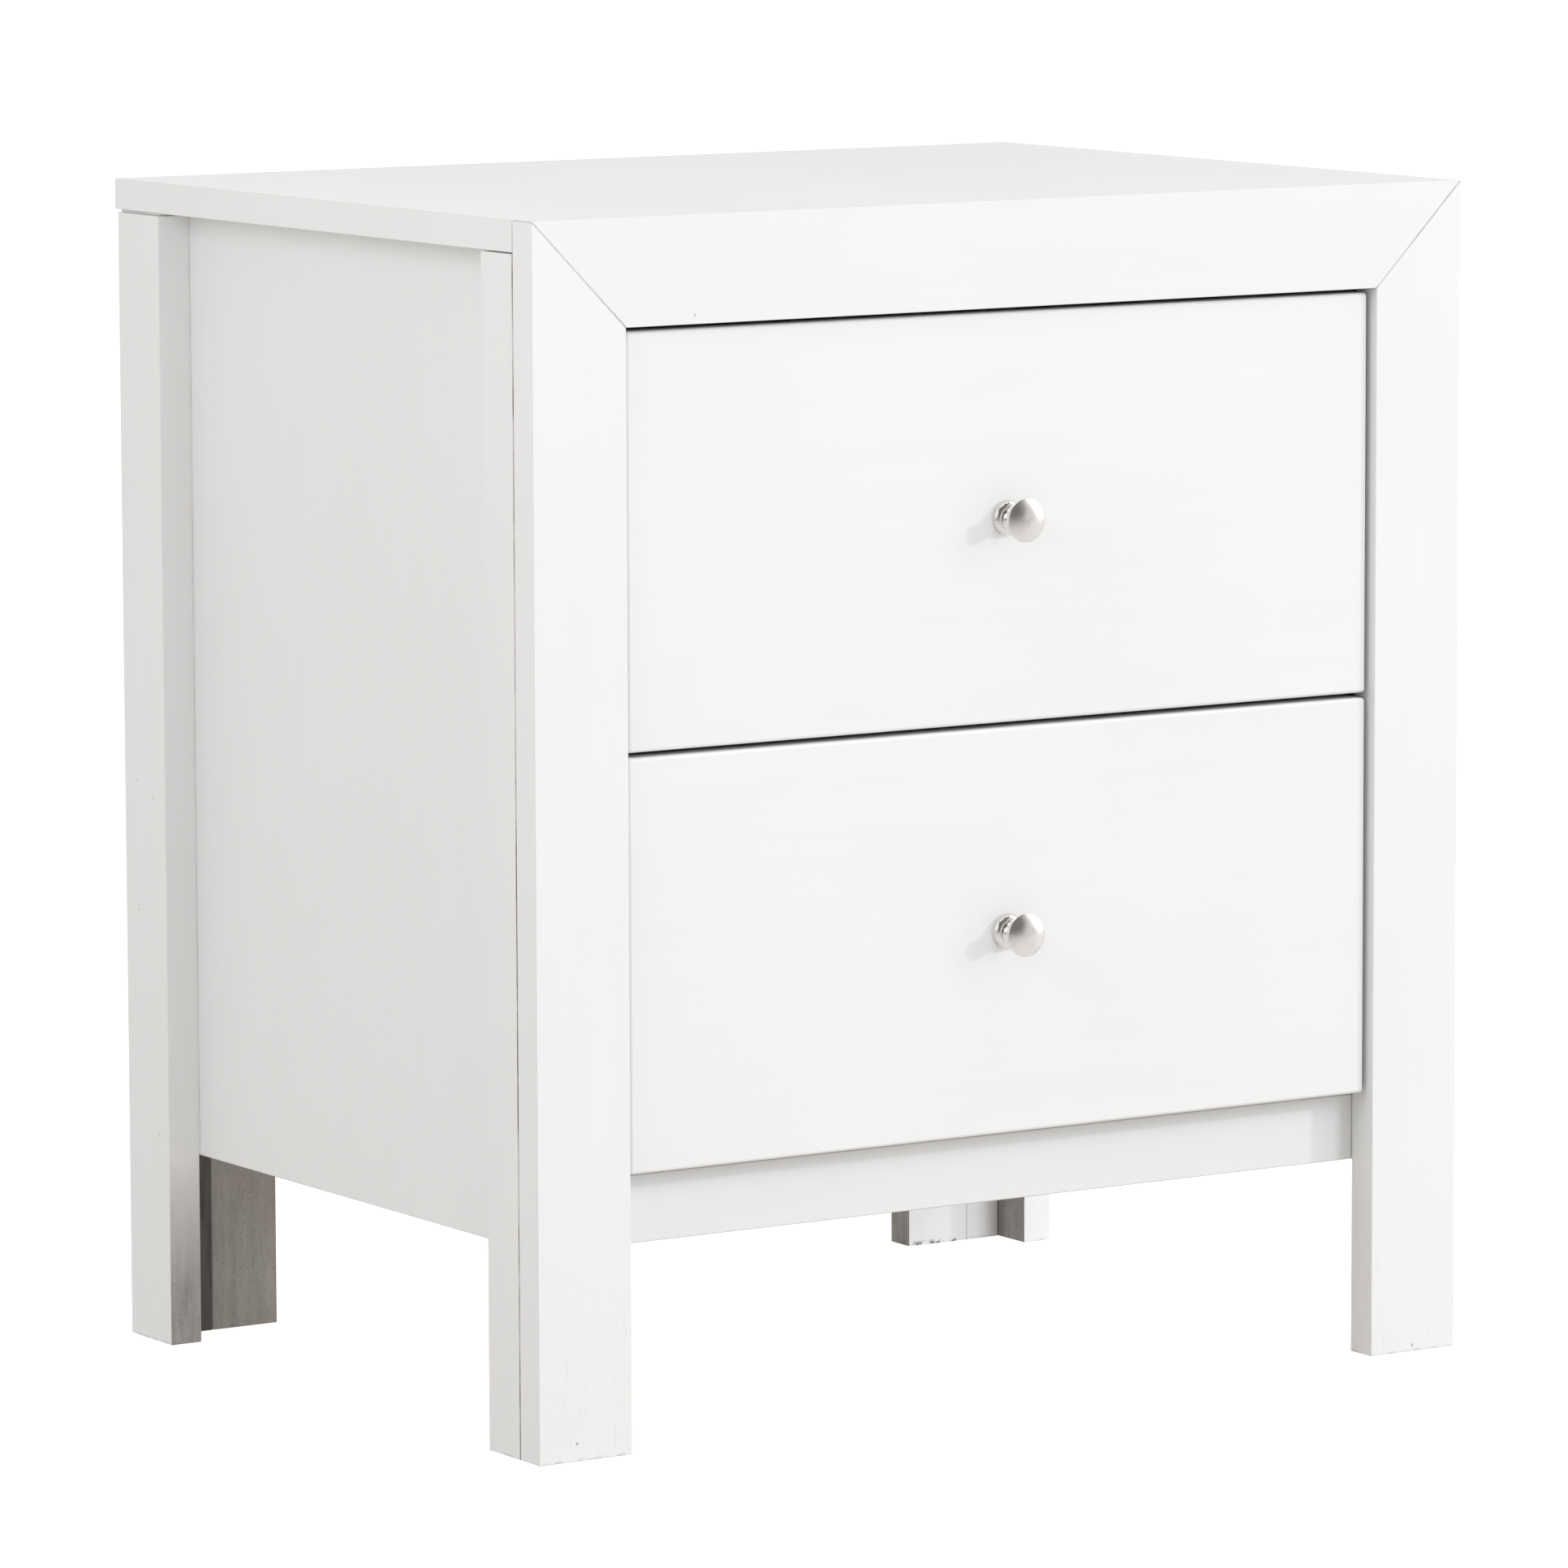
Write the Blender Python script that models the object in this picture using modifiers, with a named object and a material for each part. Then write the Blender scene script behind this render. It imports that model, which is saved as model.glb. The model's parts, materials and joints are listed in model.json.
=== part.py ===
"""Two-drawer nightstand with a mitred front frame, recessed side panels and turned metal knobs.

The origin is at the middle of the footprint, knobs included, on the floor. +Z is up, +X is to
the right seen from the front, and the drawers pull out towards -Y. All lengths are in metres.
"""

import math

import bmesh
import bpy
from mathutils import Matrix, Vector

# ---------------------------------------------------------------- driving dimensions
WIDTH = 0.559                # over the legs
DEPTH = 0.419                # from the frame's face to the top panel's rear edge
HEIGHT = 0.610
GAP = 0.0003                 # left between two boards that touch

TOP_THICKNESS = 0.016
FRAME_THICKNESS = 0.018      # stiles, top rail, leg strips and apron
FRAME_WIDTH = 0.0535         # of each stile and of the top rail
FRONT_LEG_DEPTH = 0.048      # stile and strip together, seen from the side
REAR_LEG_DEPTH = 0.0435
REAR_LEAF_THICKNESS = 0.018
REAR_LEG_WIDTH = 0.078       # seen from behind
REAR_BLOCK_WIDTH = 0.021     # filler between a rear leg's side leaf and its board
TOP_OVERHANG = 0.003         # of the top panel behind the rear legs
REAR_LEG_TOP_GAP = 0.0014    # shadow gap between a rear leg and the top panel
FRONT_LEG_TOP_GAP = 0.0006

SIDE_THICKNESS = 0.012
SIDE_BOTTOM = 0.0995         # height of the side panels' lower edge
BACK_THICKNESS = 0.005
APRON_BOTTOM = 0.1016
REAR_RAIL_HEIGHT = 0.045
TOP_CLEAT = 0.018

DRAWER_BOTTOM = 0.1385       # lower edge of the lower drawer's front
DRAWER_GAP = 0.0026          # between the two fronts
DRAWER_TOP_GAP = 0.0024      # above the upper front
DRAWER_SIDE_GAP = 0.0024     # beside each front
DRAWER_RECESS = 0.0045       # of the fronts behind the frame's face
FRONT_THICKNESS = 0.018
DRAWER_BOARD = 0.012
DRAWER_BOX_HEIGHT = 0.150
DRAWER_BOX_DEPTH = 0.348
DRAWER_BOX_LIFT = 0.015      # of the box above its front's lower edge
DRAWER_BASE = 0.005          # thickness of the drawer's bottom panel
BASE_LIFT = 0.010            # of that panel above the box's lower edge
GROOVE_DEPTH = 0.006
BACK_DROP = 0.005            # of a drawer's back below its sides

SLIDE_LENGTH = 0.350
SLIDE_HEIGHT = 0.045
SLIDE_LIFT = 0.060           # of a slide's centre above its front's lower edge
SLIDE_SETBACK = 0.0245       # of the slides behind the frame's face
SLIDE_FLANGE = 0.0015
SLIDE_PLAY = 0.0005          # running clearance between two members of a slide
SLIDE_THICKNESS = 0.0125     # of the whole slide, from cleat to drawer
CLEAT_HEIGHT = 0.068

KNOB_STEPS = 40
SCREW_STEPS = 20
FOOT_RADIUS = 0.0089
FOOT_HEIGHT = 0.0046
FOOT_WALL = 0.0012           # of straight edge below the foot's shoulder
FOOT_TOP_RADIUS = 0.0058
FOOT_BORE = 0.0026
KNOB_RADIUS = 0.0110
KNOB_LENGTH = 0.0215         # from the drawer's face to the knob's crown
KNOB_CROWN = 0.0036          # height of the domed face
KNOB_BORE = 0.0024
BOLT_RADIUS = 0.0020
BOLT_HOLE = 0.0025
BOLT_HEAD = 0.0042
BOLT_HEAD_HEIGHT = 0.0024
BOLT_TIP = 0.0140            # how far the screw reaches in front of the drawer's face

FRAME_EDGE = 0.0004          # easing of the frame's and legs' arrises
BOARD_EDGE = 0.0006
FRONT_EDGE = 0.0020          # rounding of the drawer fronts

# ---------------------------------------------------------------- derived positions
KNOB_PROUD = KNOB_LENGTH - DRAWER_RECESS
FACE_Y = KNOB_PROUD / 2 - DEPTH / 2
HALF_WIDTH = WIDTH / 2
TOP_UNDERSIDE = HEIGHT - TOP_THICKNESS
LEG_INNER = HALF_WIDTH - FRAME_THICKNESS
SIDE_OUTER = LEG_INNER - GAP
SIDE_INNER = LEG_INNER - SIDE_THICKNESS
OPENING_HALF = HALF_WIDTH - FRAME_WIDTH
OPENING_TOP = HEIGHT - FRAME_WIDTH
BEHIND_FRAME = FRAME_THICKNESS + GAP
REAR_LEG_BACK = DEPTH - TOP_OVERHANG
REAR_LEAF_FRONT = REAR_LEG_BACK - REAR_LEAF_THICKNESS
BACK_PANEL_FRONT = REAR_LEAF_FRONT - GAP - BACK_THICKNESS

FRONT_HEIGHT = (OPENING_TOP - DRAWER_TOP_GAP - DRAWER_BOTTOM - DRAWER_GAP) / 2
FRONT_HALF = OPENING_HALF - DRAWER_SIDE_GAP
FRONT_BACK = DRAWER_RECESS + FRONT_THICKNESS
BOX_HALF = OPENING_HALF - GAP - SLIDE_THICKNESS - GAP
BOX_INNER = BOX_HALF - DRAWER_BOARD
BOX_START = FRONT_BACK + GAP
BOX_END = FRONT_BACK + DRAWER_BOX_DEPTH
DRAWERS = (("upper", DRAWER_BOTTOM + FRONT_HEIGHT + DRAWER_GAP), ("lower", DRAWER_BOTTOM))
SIDES = (("left", -1), ("right", 1))

LACQUER = ("white_lacquer", (0.86, 0.86, 0.85), 0.38, 0.0)
BARE_BOARD = ("primed_board", (0.80, 0.79, 0.77), 0.6, 0.0)
DRAWER_WOOD = ("drawer_wood", (0.74, 0.62, 0.44), 0.55, 0.0)
ZINC = ("zinc_steel", (0.62, 0.63, 0.64), 0.35, 1.0)
NICKEL = ("satin_nickel", (0.72, 0.70, 0.67), 0.22, 1.0)


# ---------------------------------------------------------------- scene and helpers
def clear_scene():
    for item in list(bpy.data.objects):
        bpy.data.objects.remove(item, do_unlink=True)


def new_collection(name):
    collection = bpy.data.collections.new(name)
    bpy.context.scene.collection.children.link(collection)
    return collection


def finish_of(look):
    """The Principled material for a look: its name, colour, roughness and metallic value."""
    name, colour, roughness, metallic = look
    material = bpy.data.materials.get(name)
    if material is None:
        material = bpy.data.materials.new(name)
        material.use_nodes = True
        shader = material.node_tree.nodes["Principled BSDF"]
        shader.inputs["Base Color"].default_value = (*colour, 1.0)
        shader.inputs["Roughness"].default_value = roughness
        shader.inputs["Metallic"].default_value = metallic
    return material


def add_body(name, parent=None, location=(0, 0, 0)):
    """An empty that carries the pieces of one rigid body, standing on its joint's axis."""
    empty = bpy.data.objects.new(name, None)
    NIGHTSTAND.objects.link(empty)
    empty.parent = parent
    empty.location = location
    empty["place"] = location
    return empty


def place(piece, body, location, look):
    """Put a piece, at a place given in the world, under its body's empty."""
    NIGHTSTAND.objects.link(piece)
    piece.parent = body
    piece.location = Vector(location) - Vector(body["place"])
    piece.data.materials.append(finish_of(look))


def ease_edges(piece, width, segments):
    bevel = piece.modifiers.new("eased_edges", "BEVEL")
    bevel.width = width
    bevel.segments = segments
    bevel.limit_method = "ANGLE"
    bevel.harden_normals = False


def box_mesh(name, size):
    mesh = bpy.data.meshes.new(name)
    shape = bmesh.new()
    bmesh.ops.create_cube(shape, size=1.0)
    bmesh.ops.scale(shape, vec=size, verts=shape.verts)
    shape.to_mesh(mesh)
    shape.free()
    return mesh


def board(name, body, x, y, z, look, edge=BOARD_EDGE, segments=1):
    """A board given by its two ends on each axis; y counts back from the frame's face."""
    size = (x[1] - x[0], y[1] - y[0], z[1] - z[0])
    centre = ((x[0] + x[1]) / 2, FACE_Y + (y[0] + y[1]) / 2, (z[0] + z[1]) / 2)
    piece = bpy.data.objects.new(name, box_mesh(name, size))
    place(piece, body, centre, look)
    ease_edges(piece, edge, segments)
    return piece


def on_side(side, inner, outer):
    """The x span of a board between two distances from the middle, on the left or the right."""
    return (side * outer, side * inner) if side < 0 else (side * inner, side * outer)


def saw(piece, point, normal):
    """Cut a board flat through a point in the world and drop the part that the normal points to."""
    centre = piece.location + Vector(piece.parent["place"])
    shape = bmesh.new()
    shape.from_mesh(piece.data)
    everything = shape.verts[:] + shape.edges[:] + shape.faces[:]
    cut = bmesh.ops.bisect_plane(shape, geom=everything, plane_co=Vector(point) - centre,
                                 plane_no=Vector(normal), clear_outer=True)
    rim = [part for part in cut["geom_cut"] if isinstance(part, bmesh.types.BMEdge)]
    bmesh.ops.edgeloop_fill(shape, edges=rim)
    bmesh.ops.recalc_face_normals(shape, faces=shape.faces)
    shape.to_mesh(piece.data)
    shape.free()


def cut_away(piece, cutter):
    """Subtract a hidden cutter, which moves with the piece that it cuts."""
    CUTTERS.objects.link(cutter)
    cutter.hide_render = True
    cutter.display_type = "WIRE"
    cutter.parent = piece.parent
    cutter.location -= Vector(piece.parent["place"])
    boolean = piece.modifiers.new(cutter.name, "BOOLEAN")
    boolean.operation = "DIFFERENCE"
    boolean.solver = "EXACT"
    boolean.object = cutter


def groove(piece, x, y, z):
    """A straight-sided groove or rebate, given like a board."""
    name = piece.name + "_groove"
    cutter = bpy.data.objects.new(name, box_mesh(name, (x[1] - x[0], y[1] - y[0], z[1] - z[0])))
    cutter.location = ((x[0] + x[1]) / 2, FACE_Y + (y[0] + y[1]) / 2, (z[0] + z[1]) / 2)
    cut_away(piece, cutter)


def turned(name, body, centre, profile, steps, look, closed=False):
    """A piece turned about a line square to the drawer's face; profile is (radius, reach) pairs."""
    mesh = bpy.data.meshes.new(name)
    shape = bmesh.new()
    corners = [shape.verts.new((radius, 0.0, reach)) for radius, reach in profile]
    for first, second in zip(corners, corners[1:]):
        shape.edges.new((first, second))
    if closed:
        shape.edges.new((corners[-1], corners[0]))
    shape.to_mesh(mesh)
    shape.free()
    piece = bpy.data.objects.new(name, mesh)
    place(piece, body, centre, look)
    piece.rotation_euler = (math.radians(90), 0.0, 0.0)
    screw = piece.modifiers.new("turning", "SCREW")
    screw.steps = steps
    screw.render_steps = steps
    screw.use_smooth_shade = True
    screw.use_merge_vertices = True
    screw.merge_threshold = 0.00001
    return piece


def arc(centre, radius, start, end, count):
    """Points on a round stretch of a profile, angles in degrees from the radial direction."""
    points = []
    for step in range(count + 1):
        angle = math.radians(start + (end - start) * step / count)
        points.append((centre[0] + radius * math.cos(angle), centre[1] + radius * math.sin(angle)))
    return points


# ---------------------------------------------------------------- case
def front_frame(case):
    """Two stiles, which reach the floor as the front legs' faces, and the mitred top rail."""
    y = (0.0, FRAME_THICKNESS)
    saw_half = GAP / 2 * math.sqrt(2)
    rail = board("front_top_rail", case, (-HALF_WIDTH, HALF_WIDTH), y, (OPENING_TOP, HEIGHT),
                 LACQUER, FRAME_EDGE)
    for word, side in SIDES:
        stile = board(f"front_{word}_stile", case, on_side(side, OPENING_HALF, HALF_WIDTH), y,
                      (0.0, HEIGHT), LACQUER, FRAME_EDGE)
        corner = Vector((side * HALF_WIDTH, FACE_Y, HEIGHT))
        towards_stile = Vector((side, 0.0, -1.0))
        saw(stile, corner + Vector((0, 0, -saw_half)), -towards_stile)
        saw(rail, corner + Vector((-side * saw_half, 0, 0)), towards_stile)


def legs(case):
    for word, side in SIDES:
        outer = on_side(side, LEG_INNER, HALF_WIDTH)
        board(f"front_{word}_leg_strip", case, outer, (BEHIND_FRAME, FRONT_LEG_DEPTH),
              (0.0, TOP_UNDERSIDE - FRONT_LEG_TOP_GAP), LACQUER, FRAME_EDGE)
        rear_z = (0.0, TOP_UNDERSIDE - REAR_LEG_TOP_GAP)
        board(f"rear_{word}_leg_side", case, outer, (REAR_LEG_BACK - REAR_LEG_DEPTH, REAR_LEG_BACK),
              rear_z, LACQUER, FRAME_EDGE)
        block_inner = LEG_INNER - REAR_BLOCK_WIDTH
        leaf_y = (REAR_LEAF_FRONT, REAR_LEG_BACK)
        board(f"rear_{word}_leg_block", case, on_side(side, block_inner, LEG_INNER - GAP), leaf_y,
              rear_z, LACQUER, FRAME_EDGE)
        board(f"rear_{word}_leg_board", case,
              on_side(side, HALF_WIDTH - REAR_LEG_WIDTH, block_inner - GAP), leaf_y, rear_z,
              LACQUER, FRAME_EDGE)


def panels(case):
    board("top_panel", case, (-HALF_WIDTH, HALF_WIDTH), (BEHIND_FRAME, DEPTH),
          (TOP_UNDERSIDE, HEIGHT), LACQUER, FRAME_EDGE)
    panel_top = TOP_UNDERSIDE - GAP
    for word, side in SIDES:
        board(f"{word}_side_panel", case, on_side(side, SIDE_INNER, SIDE_OUTER),
              (BEHIND_FRAME, REAR_LEAF_FRONT - GAP), (SIDE_BOTTOM, panel_top), LACQUER)
        board(f"{word}_top_cleat", case, on_side(side, SIDE_INNER - GAP - TOP_CLEAT, SIDE_INNER - GAP),
              (BEHIND_FRAME + TOP_CLEAT, BACK_PANEL_FRONT - TOP_CLEAT),
              (panel_top - TOP_CLEAT, panel_top), BARE_BOARD)
    board("back_panel", case, (GAP - SIDE_INNER, SIDE_INNER - GAP),
          (BACK_PANEL_FRONT, BACK_PANEL_FRONT + BACK_THICKNESS), (SIDE_BOTTOM, panel_top), LACQUER)


def rails(case):
    board("front_apron", case, (GAP - SIDE_INNER, SIDE_INNER - GAP),
          (BEHIND_FRAME, BEHIND_FRAME + FRAME_THICKNESS), (APRON_BOTTOM, DRAWER_BOTTOM - DRAWER_GAP),
          LACQUER)
    rail_half = HALF_WIDTH - REAR_LEG_WIDTH - GAP
    y = (REAR_LEAF_FRONT, REAR_LEG_BACK)
    rail_top = TOP_UNDERSIDE - GAP
    board("rear_top_rail", case, (-rail_half, rail_half), y, (rail_top - REAR_RAIL_HEIGHT, rail_top),
          LACQUER)
    board("rear_bottom_rail", case, (-rail_half, rail_half), y,
          (SIDE_BOTTOM, SIDE_BOTTOM + REAR_RAIL_HEIGHT), LACQUER)


def runner_cleat(case, level, word, side, centre_z):
    """A packing board that brings the slides flush with the opening between the stiles."""
    board(f"{level}_{word}_runner_cleat", case, on_side(side, OPENING_HALF, SIDE_INNER - GAP),
          (BEHIND_FRAME, BACK_PANEL_FRONT - GAP),
          (centre_z - CLEAT_HEIGHT / 2, centre_z + CLEAT_HEIGHT / 2), BARE_BOARD)


# ---------------------------------------------------------------- telescopic slides
def channel(name, body, side, web, lip, half_height, centre_z):
    """One slide member, a C channel; web and lip are the x of its back and of its flanges' ends."""
    inward = SLIDE_FLANGE if web < lip else -SLIDE_FLANGE
    outline = [(web, half_height), (lip, half_height), (lip, half_height - SLIDE_FLANGE),
               (web + inward, half_height - SLIDE_FLANGE)]
    outline += [(x, -z) for x, z in reversed(outline)]
    curve = bpy.data.curves.new(name, "CURVE")
    curve.dimensions = "2D"
    curve.fill_mode = "BOTH"
    curve.extrude = SLIDE_LENGTH / 2
    spline = curve.splines.new("POLY")
    spline.points.add(len(outline) - 1)
    for point, (x, z) in zip(spline.points, outline):
        point.co = (side * x, z, 0.0, 1.0)
    spline.use_cyclic_u = True
    piece = bpy.data.objects.new(name, curve)
    place(piece, body, (0.0, FACE_Y + SLIDE_SETBACK + SLIDE_LENGTH / 2, centre_z), ZINC)
    piece.rotation_euler = (math.radians(90), 0.0, 0.0)
    weld = piece.modifiers.new("welded_caps", "WELD")
    weld.merge_threshold = 0.00001


def slide(level, word, side, case, middle, drawer, centre_z):
    """Cabinet, middle and drawer members, nested one inside the other."""
    outer_web = OPENING_HALF - GAP
    outer_half = SLIDE_HEIGHT / 2
    step = SLIDE_FLANGE + SLIDE_PLAY
    middle_lip = outer_web - SLIDE_THICKNESS + step
    channel(f"{level}_{word}_slide_cabinet_member", case, side, outer_web, middle_lip,
            outer_half, centre_z)
    channel(f"{level}_{word}_slide_middle_member", middle, side, outer_web - step, middle_lip,
            outer_half - step, centre_z)
    channel(f"{level}_{word}_slide_drawer_member", drawer, side, outer_web - SLIDE_THICKNESS,
            outer_web - 2 * step, outer_half - 2 * step, centre_z)


# ---------------------------------------------------------------- drawers
def drawer_box(level, drawer, bottom_z):
    front = board(f"{level}_drawer_front", drawer, (-FRONT_HALF, FRONT_HALF),
                  (DRAWER_RECESS, FRONT_BACK), (bottom_z, bottom_z + FRONT_HEIGHT), LACQUER,
                  FRONT_EDGE, 3)
    box_z = bottom_z + DRAWER_BOX_LIFT
    box_top = box_z + DRAWER_BOX_HEIGHT
    base_z = (box_z + BASE_LIFT, box_z + BASE_LIFT + DRAWER_BASE)
    groove_z = (base_z[0] - GAP, base_z[1] + GAP)
    reach = BOX_INNER + GROOVE_DEPTH
    for word, side in SIDES:
        piece = board(f"{level}_drawer_{word}_side", drawer, on_side(side, BOX_INNER, BOX_HALF),
                      (BOX_START, BOX_END), (box_z, box_top), DRAWER_WOOD)
        groove(piece, on_side(side, BOX_INNER - GROOVE_DEPTH, reach),
               (BOX_START - GROOVE_DEPTH, BOX_END + GROOVE_DEPTH), groove_z)
    groove(front, (-reach, reach), (FRONT_BACK - GROOVE_DEPTH, FRONT_BACK + GROOVE_DEPTH), groove_z)
    board(f"{level}_drawer_bottom", drawer, (GAP - reach, reach - GAP),
          (FRONT_BACK - GROOVE_DEPTH + GAP, BOX_END), base_z, DRAWER_WOOD, FRAME_EDGE)
    board(f"{level}_drawer_back", drawer, (GAP - BOX_INNER, BOX_INNER - GAP),
          (BOX_END - DRAWER_BOARD, BOX_END), (base_z[1] + GAP, box_top - BACK_DROP), DRAWER_WOOD)
    return front


def knob(level, drawer, front, centre_z):
    """A round foot, a mushroom knob turned in one piece with its neck, and the screw behind."""
    centre = (0.0, FACE_Y + DRAWER_RECESS, centre_z)
    shoulder_radius = FOOT_HEIGHT - FOOT_WALL
    shoulder = arc((FOOT_RADIUS - shoulder_radius, FOOT_WALL), shoulder_radius, 84, 0, 8)
    turned(f"{level}_knob_foot", drawer, centre,
           [(FOOT_BORE, FOOT_HEIGHT)] + shoulder + [(FOOT_RADIUS, GAP), (FOOT_BORE, GAP)],
           KNOB_STEPS, NICKEL, closed=True)
    crown_radius = (KNOB_RADIUS ** 2 + KNOB_CROWN ** 2) / (2 * KNOB_CROWN)
    half_angle = math.degrees(math.asin(KNOB_RADIUS / crown_radius))
    crown = arc((0.0, KNOB_LENGTH - crown_radius), crown_radius, 90, 90 - half_angle, 8)
    crown[0] = (0.0, KNOB_LENGTH)
    rim_z = KNOB_LENGTH - KNOB_CROWN
    under = [(KNOB_RADIUS, rim_z - 0.0007), (KNOB_RADIUS - 0.0005, rim_z - 0.0012)]
    neck = arc((0.0106, 0.0104), 0.0060, 105, 228, 8)
    neck_base = FOOT_HEIGHT + GAP
    collar = [(FOOT_TOP_RADIUS, neck_base + 0.0008), (FOOT_TOP_RADIUS, neck_base),
              (KNOB_BORE, neck_base)]
    turned(f"{level}_knob", drawer, centre,
           crown + under + neck + collar + [(KNOB_BORE, BOLT_TIP + 0.001), (0.0, BOLT_TIP + 0.002)],
           KNOB_STEPS, NICKEL)
    head_top = -FRONT_THICKNESS - GAP
    bolt = [(0.0, BOLT_TIP), (BOLT_RADIUS, BOLT_TIP - 0.0006), (BOLT_RADIUS, head_top),
            (BOLT_HEAD, head_top), (BOLT_HEAD * 0.9, head_top - BOLT_HEAD_HEIGHT * 0.6),
            (BOLT_HEAD * 0.55, head_top - BOLT_HEAD_HEIGHT), (0.0, head_top - BOLT_HEAD_HEIGHT)]
    turned(f"{level}_knob_screw", drawer, centre, bolt, SCREW_STEPS, ZINC)
    name = f"{level}_knob_hole"
    mesh = bpy.data.meshes.new(name)
    shape = bmesh.new()
    bmesh.ops.create_cone(shape, cap_ends=True, segments=SCREW_STEPS, radius1=BOLT_HOLE,
                          radius2=BOLT_HOLE, depth=FRONT_THICKNESS * 2,
                          matrix=Matrix.Rotation(math.radians(90), 4, "X"))
    shape.to_mesh(mesh)
    shape.free()
    cutter = bpy.data.objects.new(name, mesh)
    cutter.location = (0.0, FACE_Y + DRAWER_RECESS + FRONT_THICKNESS / 2, centre_z)
    cut_away(front, cutter)


# ---------------------------------------------------------------- assembly
clear_scene()
NIGHTSTAND = new_collection("nightstand")
CUTTERS = new_collection("cutters")
case_body = add_body("case")
front_frame(case_body)
legs(case_body)
panels(case_body)
rails(case_body)
for level_name, front_z in DRAWERS:
    slide_z = front_z + SLIDE_LIFT
    axis_start = (0.0, FACE_Y, slide_z)
    middle_body = add_body(f"{level_name}_slide_axis", case_body, axis_start)
    drawer_body = add_body(f"{level_name}_drawer_axis", case_body, axis_start)
    for side_word, side_sign in SIDES:
        runner_cleat(case_body, level_name, side_word, side_sign, slide_z)
        slide(level_name, side_word, side_sign, case_body, middle_body, drawer_body, slide_z)
    drawer_front = drawer_box(level_name, drawer_body, front_z)
    knob(level_name, drawer_body, drawer_front, front_z + FRONT_HEIGHT / 2)
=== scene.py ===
"""Looks of the two-drawer nightstand: lacquer, wood and metal finishes, camera, floor and light."""

import json
import math

import bmesh
import bpy
from mathutils import Matrix, Quaternion, Vector


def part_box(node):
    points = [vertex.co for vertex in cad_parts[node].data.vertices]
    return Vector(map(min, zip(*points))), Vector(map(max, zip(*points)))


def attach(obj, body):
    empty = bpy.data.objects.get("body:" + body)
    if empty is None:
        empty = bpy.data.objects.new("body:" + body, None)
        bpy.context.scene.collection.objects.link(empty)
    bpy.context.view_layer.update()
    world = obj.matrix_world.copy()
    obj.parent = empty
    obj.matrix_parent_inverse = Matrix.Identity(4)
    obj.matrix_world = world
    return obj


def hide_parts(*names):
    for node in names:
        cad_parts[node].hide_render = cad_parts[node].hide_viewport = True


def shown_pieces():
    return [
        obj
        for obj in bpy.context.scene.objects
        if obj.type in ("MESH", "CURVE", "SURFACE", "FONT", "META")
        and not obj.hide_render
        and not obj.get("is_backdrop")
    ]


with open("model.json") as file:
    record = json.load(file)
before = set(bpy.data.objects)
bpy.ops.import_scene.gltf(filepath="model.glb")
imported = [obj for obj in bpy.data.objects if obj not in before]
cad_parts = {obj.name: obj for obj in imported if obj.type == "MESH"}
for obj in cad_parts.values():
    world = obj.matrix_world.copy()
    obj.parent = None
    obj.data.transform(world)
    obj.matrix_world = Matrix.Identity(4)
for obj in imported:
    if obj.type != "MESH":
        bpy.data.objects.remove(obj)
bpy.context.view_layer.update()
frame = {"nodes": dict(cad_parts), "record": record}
NODES = frame["nodes"]

# ---------------------------------------------------------------- camera
CAMERA_PLACE = Vector((-2.500, -3.879, 0.896))
CAMERA_AIM = Vector((-0.008, -0.002, 0.296))
CAMERA_LENS = 205.0          # mm on a 36 mm sensor
CAMERA_ROLL = 0.18           # degrees, clockwise

# ---------------------------------------------------------------- lamps, sizes in metres
OBJECT_MIDDLE = Vector((0.0, 0.0, 0.3))
KEY_DISTANCE = 6.0
KEY_SIZE = (1.5, 3.4)        # across and high
KEY_COLOUR = (0.968, 1.0, 1.034)
BROAD_WATTS = 111.0          # the larger part of the key, which the knobs don't stop
BROAD_TOWARDS = Vector((0.60, -1.20, 0.75))
KEY_WATTS = 28.5
KEY_TOWARDS = Vector((1.10, -1.0, 0.66))
STREAK_WATTS = 74.0          # a smaller lamp, which draws the shadows of the knobs' necks
STREAK_SIZE = (0.4, 0.4)
STREAK_TOWARDS = Vector((1.20, -0.85, 0.52))
FILL_WATTS = 4.1
FILL_PLACE = Vector((-1.3, -0.45, 1.05))
FILL_SIZE = (0.6, 0.6)
FILL_COLOUR = (1.0, 1.0, 1.0)
LEG_WATTS = 11.0             # a low lamp for the right rear leg's front, which the case shades
LEG_PLACE = Vector((0.75, -2.2, 0.35))
LEG_SIZE = (0.6, 0.4)
LEG_COLOUR = (0.92, 0.96, 1.09)

# ---------------------------------------------------------------- the room, as it lights the object
# An _EDGE is the stretch over which one level runs into the next, in the direction's X or Z, or in
# its cosine with a _TOWARDS.
WALL_LEVEL = 0.65            # brightness in front of the object
LEFT_LEVEL = 0.72            # at its left
LEFT_EDGE = (-0.97, -0.50)
RIGHT_LEVEL = 0.85           # at its right
RIGHT_EDGE = (0.45, 0.90)
CEILING_LEVEL = 0.80
CEILING_EDGE = (0.35, 0.85)
BACKDROP_LEVEL = 1.07        # where the camera sees past the floor, to the same white
NEUTRAL = (1.0, 0.992, 0.982)    # at its left
WARM = (1.0, 0.973, 0.948)       # in front of it and at its right
WARM_EDGE = (-0.85, 0.0)

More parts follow.
